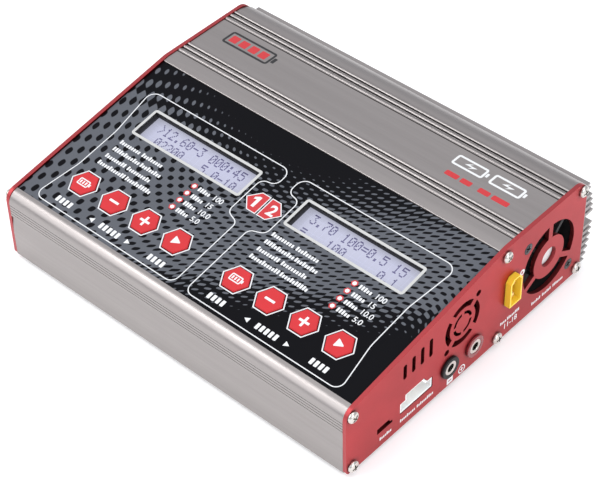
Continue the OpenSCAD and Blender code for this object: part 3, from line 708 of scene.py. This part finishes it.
def key_marks(cx):
    """Rings round the keys, and captions and arrows under them."""
    for i in range(len(KEYS)):
        kx = cx + (i - 1.5) * KEY_PITCH
        white.ring(hexagon(KEY_FLATS + 0.95, kx, -KEY_S), hexagon(KEY_FLATS + 2.05, kx, -KEY_S))
    for at, count in ((-28.5, 4), (0, 5), (28.5, 4)):
        white.caption(cx + at, CAPTION_S, count, 3.2)
    for arrow in (-1, 1):
        tip, base = cx + arrow * 12.4, cx + arrow * 9.9
        triangle = [(tip, CAPTION_S), (base, CAPTION_S + 1.35), (base, CAPTION_S - 1.35)]
        white.face(triangle if arrow < 0 else triangle[::-1])


for _, side in SIDES:
    white.outline(unit_outline(side), 0.48)
    window_frame(side * CHANNEL_X)
    channel_sign(side)
    rating_lines(side * CHANNEL_X)
    key_marks(side * CHANNEL_X)
# The heavy 1 is drawn, and the 2 comes from Blender's own face
digits.face([(-4.9 + px, -38.35 + py) for px, py in (
    (-0.2, -3.1), (1.4, -3.1), (1.4, 3.1), (0.1, 3.1), (-1.7, 1.9), (-1.7, 0.7), (-0.2, 1.2))])
digits.number("2", 4.9, -38.6, 8.2, bold=0.22)
for sheet in (white, red, digits, frames):
    sheet.lay()


def shade_strip(side_name, side):
    """Thin black strip round the inside of a display window, under the overlay: painted shade standing in for
    the shadow on the window's walls.
    """
    half = Vector((WINDOW[0] / 2 - 0.05, WINDOW[1] / 2 - 0.05))
    cx, thick, upper, lower = side * CHANNEL_X, 0.3, -0.9, -2.6
    corners = ((-1, -1), (1, -1), (1, 1), (-1, 1))
    outer = [(cx + sx * half.x, sy * half.y - WINDOW_S) for sx, sy in corners]
    strip = Print(f"{side_name}_window_shade_strip", BLACK_PLASTIC, DECK, height=lower, thick=upper - lower)
    strip.ring(offset(outer, -thick), outer)
    strip.lay()


# Painted shade: black strips on the walls inside the display windows.
for side_name, side in SIDES:
    shade_strip(side_name, side)

# Display contents: figures of five by seven dots, each row of dots as two hexadecimal digits
DOTS = {
    "0": "0E11131519110E", "1": "040C040404040E", "2": "0E11010204081F", "3": "1F02040201110E",
    "4": "02060A121F0202", "5": "1F101E0101110E", "6": "0608101E11110E", "7": "1F010204080808",
    "8": "0E11110E11110E", "9": "0E11110F01020C", "-": "0000001F000000", ".": "00000000000C0C",
    "=": "00001F001F0000", ":": "000C0C000C0C00", ">": "08040201020408",
}
READOUTS = {"left": (">12.60-3 000:45", " 02200   5.0-10"), "right": ("3.70 100=0.5 15", "=   100     0.1")}
CELL = (3.55, 7.0)
DOT = (0.60, 0.76)
# Share of a dot's pitch that is dark
DOT_FILL = 0.9


def figure_dots(letter):
    """Columns and rows of the dark dots of a figure."""
    code = DOTS.get(letter, "")
    for row in range(len(code) // 2):
        bits = int(code[2 * row:2 * row + 2], 16)
        yield from ((column, row) for column in range(5) if bits & (16 >> column))


def display_figures(side_name, side):
    height = deck_height(f"{side_name}_display_glass") + 0.01
    lcd = Print(f"{side_name}_display_figures", PIXEL_INK, DECK, height=height, thick=0.02)
    x_first = side * CHANNEL_X - 27.7
    y_first = -WINDOW_S + 6.5 - DOT[1]
    wide, tall = DOT[0] * DOT_FILL, DOT[1] * DOT_FILL
    for line_index, line in enumerate(READOUTS[side_name]):
        for cell_index, letter in enumerate(line):
            for column, row in figure_dots(letter):
                x = x_first + cell_index * CELL[0] + column * DOT[0]
                y = y_first - line_index * CELL[1] - row * DOT[1]
                lcd.face([(x, y), (x + wide, y), (x + wide, y + tall), (x, y + tall)])
    lcd.lay()


for side_name, side in SIDES:
    display_figures(side_name, side)


# ---------------------------------------------------------------- keys

def key_cap(name, side, index):
    """Hexagonal cap with a rounded rim over the CAD key, and the white sign on it."""
    node = f"{name}_key"
    fine(node, 0.35, 3)
    top = deck_height(node)
    kx, ky = side * CHANNEL_X + (index - 1.5) * KEY_PITCH, -KEY_S
    sign = Print(node + "_sign", WHITE_INK, DECK, BODY_OF[node], height=top, thick=0.02)
    if index == 0:
        sign.outline(box_outline(kx - 3.1, ky - 1.6, kx + 2.5, ky + 1.6, 0.4, 3), 0.6)
        sign.bar(kx + 2.9, ky - 0.8, kx + 3.7, ky + 0.8, 0.15)
        for k in range(3):
            sign.bar(kx - 2.3 + k * 1.5, ky - 0.9, kx - 1.5 + k * 1.5, ky + 0.9, 0.1)
    elif index in (1, 2):
        sign.bar(kx - 2.7, ky - 0.6, kx + 2.7, ky + 0.6, 0.2)
        if index == 2:
            sign.bar(kx - 0.6, ky + 0.6, kx + 0.6, ky + 2.7, 0.2)
            sign.bar(kx - 0.6, ky - 2.7, kx + 0.6, ky - 0.6, 0.2)
    else:
        sign.face(rounded([(kx - 1.7, ky - 2.3, 0.3), (kx + 2.6, ky, 0.3), (kx - 1.7, ky + 2.3, 0.3)], 3))
    sign.lay()


for side_name, side in SIDES:
    for index, key_name in enumerate(KEYS):
        key_cap(f"{side_name}_{key_name}", side, index)


# ---------------------------------------------------------------- prints on the case

# Where the signs of the 4 mm sockets stand along an end plate
MINUS_SOCKET_Y, PLUS_SOCKET_Y = 66.3, 74.3


def plate_print(side_name, matrix, flip):
    """Marks on an end plate. On the left plate local x runs the other way."""
    marks = Print(f"{side_name}_plate_print", WHITE_INK, matrix, thick=0.02)

    def words(y0, y1, z):
        marks.words(-y1 if flip else y0, z, (y1 - y0,), 1.8)

    for y0, y1 in ((20.6, 28.4), (33.6, 43.4), (44.4, 55.6),
                   (123.0, 129.5), (130.7, 137.2), (138.4, 145.6)):
        words(y0, y1, 3.6)
    if not flip:
        for y0, y1 in ((100.4, 104.2), (105.2, 114.2)):
            words(y0, y1, 8.4)
        marks.number("11-18", 107.6, 5.6, 4.2, bold=0.06)
        marks.ring(circle(113.9, 30.6, 0.7), circle(113.9, 30.6, 1.7))
    s = -1 if flip else 1
    minus, plus = s * MINUS_SOCKET_Y, s * PLUS_SOCKET_Y
    marks.ring(box_outline(minus - 1.1, 2.2, minus + 1.1, 2.8, 0.1, 3),
               box_outline(minus - 2.0, 0.8, minus + 2.0, 4.2, 0.3, 3))
    marks.ring(circle(plus, 3.0, 1.75), circle(plus, 3.0, 2.3))
    marks.bar(plus - 1.1, 2.75, plus + 1.1, 3.25, 0.1)
    marks.bar(plus - 0.25, 3.25, plus + 0.25, 4.1, 0.05)
    marks.bar(plus - 0.25, 1.9, plus + 0.25, 2.75, 0.05)
    marks.lay()


plate_print("right", RIGHT_FACE, False)
plate_print("left", LEFT_FACE, True)

top_dark = Print("top_print_dark", DARK_INK, TOP, thick=0.02)
top_red = Print("top_print_red", RED_INK, TOP, thick=0.02)
top_white = Print("top_print_white", WHITE_INK, TOP, thick=0.02)
# Battery sign at the left: dark case and red cells
top_dark.outline(box_outline(-87.2, 127.4, -60.2, 135.6, 1.0, 4), 1.2)
top_dark.bar(-59.2, 129.6, -57.4, 133.4, 0.3)
for k in range(4):
    top_red.bar(-85.4 + k * 6.1, 129.1, -80.9 + k * 6.1, 133.9, 0.4)
# Two white batteries and a line of red bars at the right
for x in (48.4, 68.6):
    top_white.outline(box_outline(x, 129.6, x + 15.6, 135.4, 0.8, 4), 1.1)
    top_white.bar(x + 16.5, 131.2, x + 17.7, 133.8, 0.2)
    top_white.face([(x + 5.0, 132.2), (x + 8.9, 132.2), (x + 7.6, 130.6), (x + 11.4, 132.9), (x + 7.4, 132.9),
                    (x + 8.6, 134.5)])
for x0, x1 in ((50.0, 57.0), (58.4, 64.0), (68.0, 74.0), (75.4, 84.0)):
    top_red.bar(x0, 121.6, x1, 124.6, 0.6)
for sheet in (top_dark, top_red, top_white):
    sheet.lay()


# ---------------------------------------------------------------- screws

def loose_parts(node):
    """Boxes of a node's separate solids, as (lowest, highest)."""
    bm = bmesh.new()
    bm.from_mesh(frame["nodes"][node].data)
    bmesh.ops.remove_doubles(bm, verts=bm.verts, dist=1e-6)
    left = set(bm.verts)
    boxes = []
    while left:
        stack = [left.pop()]
        points = []
        while stack:
            vert = stack.pop()
            points.append(vert.co.copy())
            for edge in vert.link_edges:
                other = edge.other_vert(vert)
                if other in left:
                    left.remove(other)
                    stack.append(other)
        boxes.append((Vector(map(min, zip(*points))), Vector(map(max, zip(*points)))))
    bm.free()
    return sorted(boxes, key=lambda b: tuple(round(c, 5) for c in b[0]))


def lathe(profile, steps=48):
    """Mesh turned from (radius, height) points in millimetres about z; the ends are on the axis."""
    bm = bmesh.new()
    rings = []
    for r, z in profile:
        if r == 0:
            rings.append([bm.verts.new((0, 0, z * MM))])
        else:
            rings.append([bm.verts.new((x * MM, y * MM, z * MM)) for x, y in ring_points(0, 0, r, steps)])
    for low, high in zip(rings, rings[1:]):
        for k in range(steps):
            if len(low) == 1:
                bm.faces.new((low[0], high[k], high[k - 1]))
            elif len(high) == 1:
                bm.faces.new((low[k - 1], low[k], high[0]))
            else:
                bm.faces.new((low[k - 1], low[k], high[k], high[k - 1]))
    bmesh.ops.recalc_face_normals(bm, faces=bm.faces)
    return bm


def carve_cross(mesh, top, depth, arm, width):
    """Cut a cross recess into a screw head."""
    cutter = bmesh.new()
    for turn in (0, 90):
        bmesh.ops.create_cube(cutter, size=1, matrix=Matrix.Rotation(math.radians(turn), 4, "Z")
                              @ Matrix.Translation((0, 0, (top + 1 - depth) * MM))
                              @ Matrix.Diagonal((arm * MM, width * MM, 2 * MM, 1)))
    tool = bpy.data.objects.new("tool", new_mesh("tool", cutter))
    head = bpy.data.objects.new("head", mesh)
    for obj in (tool, head):
        bpy.context.scene.collection.objects.link(obj)
    cut = head.modifiers.new("cut", "BOOLEAN")
    cut.object = tool
    cut.solver = "EXACT"
    cut.use_self = True
    cut.operation = "DIFFERENCE"
    bpy.context.view_layer.update()
    carved = bpy.data.meshes.new_from_object(head.evaluated_get(bpy.context.evaluated_depsgraph_get()))
    for obj in (tool, head):
        bpy.data.objects.remove(obj)
    return carved


def screw_set(node, profile, top, arm, width, material):
    """Replace a node of screws with turned, recessed ones in the same places."""
    single = carve_cross(new_mesh("head", lathe(profile), True), top, 1.3, arm, width)
    rng = random.Random(7)
    bm = bmesh.new()
    for low, high in loose_parts(node):
        centre = (low + high) / 2
        outward = 1 if centre.x > 0 else -1
        place = Vector((outward * PLATE_HI.x, centre.y, centre.z))
        matrix = (Matrix.Translation(place) @ Matrix.Rotation(outward * math.pi / 2, 4, "Y")
                  @ Matrix.Rotation(rng.uniform(0, math.pi / 2), 4, "Z"))
        copy = single.copy()
        copy.transform(matrix)
        bm.from_mesh(copy)
        bpy.data.meshes.remove(copy)
    mesh = bpy.data.meshes.new(node + ".fine")
    bm.to_mesh(mesh)
    bm.free()
    obj = piece(node + ".fine", mesh, material, CASE)
    obj.data.set_sharp_from_angle(angle=math.radians(35))
    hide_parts(node)


# Outlines of the pan head and the countersunk screw, as (radius, height over the plate)
PAN = [(0, -9.9), (0.9, -9.9), (1.24, -9.3), (1.24, 0), (2.62, 0), (2.78, 0.15), (2.8, 0.7), (2.6, 1.25),
       (2.1, 1.65), (1.2, 1.92), (0, 2.0)]
SUNK = [(0, -10.9), (1.2, -10.9), (1.49, -10.5), (1.49, -1.2), (2.62, -0.12), (2.66, -0.03), (2.6, 0), (0, 0)]
screw_set("end_plate_screws", PAN, 2.0, 3.3, 0.75, NICKEL)
screw_set("fan_screws", SUNK, 0.0, 3.2, 0.7, BLACK_SCREW)


# ---------------------------------------------------------------- fans

BLADES = 7
HUB_R, TIP_R, BLADE_DEPTH = 11.0, 18.2, 4.86
# Turn of a blade from its front edge to its back edge, and its lean from hub to tip, in radians
BLADE_TWIST, BLADE_LEAN = 0.74, 0.12
# Outline of the hub, as (radius, height)
HUB = [(0, -3.6), (10.3, -3.6), (10.9, -3.3), (11, -2.8), (11, 3.3), (10.8, 3.55), (9.7, 3.55), (9.6, 3.3),
       (9.6, -2.4), (1.0, -2.4), (1.0, 3.9), (0, 3.9)]


def blade_point(blade, out, along):
    """Point of a blade: out runs from hub to tip, along from -0.5 at its front edge to 0.5."""
    root = HUB_R - 0.3
    r = root + (TIP_R - root) * out
    lean = BLADE_LEAN * ((r - HUB_R) / (TIP_R - HUB_R)) ** 2
    angle = math.tau * blade / BLADES + along * BLADE_TWIST + lean
    z = along * BLADE_DEPTH + 0.9 * (0.25 - along * along) - 0.2
    return r * math.cos(angle) * MM, r * math.sin(angle) * MM, z * MM


def fan_blades(side_name, side):
    """Rotor with swept blades in place of the plain one."""
    node = f"{side_name}_fan_rotor"
    low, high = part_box(node)
    bm = bmesh.new()
    for blade in range(BLADES):
        rows = [[bm.verts.new(blade_point(blade, i / 6, k / 8 - 0.5)) for k in range(9)] for i in range(7)]
        for a, b in zip(rows, rows[1:]):
            for k in range(8):
                bm.faces.new((a[k], a[k + 1], b[k + 1], b[k]))
    bmesh.ops.recalc_face_normals(bm, faces=bm.faces)
    bmesh.ops.solidify(bm, geom=bm.faces[:], thickness=0.8 * MM)
    hub_mesh = new_mesh("hub", lathe(HUB, 64))
    bm.from_mesh(hub_mesh)
    bpy.data.meshes.remove(hub_mesh)
    mesh = new_mesh(node + ".fine", bm, True)
    matrix = Matrix.Translation((low + high) / 2) @ Matrix.Rotation(side * math.pi / 2, 4, "Y")
    obj = piece(node + ".fine", mesh, BLACK_PLASTIC, BODY_OF[node], matrix)
    obj.data.set_sharp_from_angle(angle=math.radians(35))
    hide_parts(node)


for side_name, side in SIDES:
    fan_blades(side_name, side)


# ---------------------------------------------------------------- studio

def floor():
    """Pale paper just under the feet, faintly lit from itself so that it stays white."""
    bm = bmesh.new()
    bmesh.ops.create_grid(bm, x_segments=1, y_segments=1, size=4.0)
    obj = bpy.data.objects.new("floor", new_mesh("floor", bm))
    bpy.context.scene.collection.objects.link(obj)
    obj.location.z = -0.1 * MM
    m = Material("floor_paper", (0.90, 0.90, 0.90), 0.8)
    m.put(m.shader, "Specular IOR Level", 0.1)
    grain = m.spread(m.noise(3, 2), 0.0, 1.0)
    m.put(m.shader, "Base Color", m.mix(grain, (0.895, 0.895, 0.895), (0.905, 0.905, 0.905)))
    m.put(m.shader, "Emission Color", (1, 1, 1, 1))
    m.put(m.shader, "Emission Strength", 0.22)
    obj.data.materials.append(m.mat)


def softbox(name, place, size, power):
    """Rectangular light that faces the middle of the floor."""
    light = bpy.data.lights.new(name, "AREA")
    light.shape = "RECTANGLE"
    light.size, light.size_y = size
    light.energy = power
    obj = bpy.data.objects.new(name, light)
    bpy.context.scene.collection.objects.link(obj)
    obj.location = place
    obj.rotation_mode = "QUATERNION"
    obj.rotation_quaternion = (-Vector(place)).to_track_quat("-Z", "Y")


def camera():
    """Long lens at the photograph's viewing angle."""
    azimuth, elevation, roll = math.radians(43.07), math.radians(43.45), math.radians(-1.6)
    aim, distance = Vector((20.8, -23.1, 40.0)) * MM, 818.3 * MM
    back = Vector((math.sin(azimuth) * math.cos(elevation), -math.cos(azimuth) * math.cos(elevation),
                   math.sin(elevation)))
    data = bpy.data.cameras.new("camera")
    data.lens = 114.8
    data.sensor_width = 36.0
    obj = bpy.data.objects.new("camera", data)
    bpy.context.scene.collection.objects.link(obj)
    obj.rotation_mode = "QUATERNION"
    turn = back.to_track_quat("Z", "Y").to_matrix().to_4x4() @ Matrix.Rotation(roll, 4, "Z")
    obj.matrix_world = Matrix.Translation(aim + back * distance) @ turn
    bpy.context.scene.camera = obj


def world():
    """Even, slightly cool light from all round."""
    made = bpy.data.worlds.new("studio")
    made.use_nodes = True
    background = made.node_tree.nodes["Background"]
    background.inputs["Color"].default_value = (0.93, 0.95, 1.0, 1)
    background.inputs["Strength"].default_value = 0.7
    bpy.context.scene.world = made


floor()
world()
softbox("front_left", (-0.65, -0.94, 0.80), (1.1, 0.95), 6)
softbox("overhead", (0.2, 0.2, 1.8), (1.6, 1.6), 10)
softbox("right", (1.5, -0.4, 0.9), (0.9, 0.9), 12)
softbox("back_left", (-0.9, 0.8, 1.3), (1.3, 1.3), 1.5)
softbox("key", (-0.79, -0.55, 1.26), (0.4, 0.4), 4)
camera()
bpy.context.scene.view_settings.view_transform = "Standard"
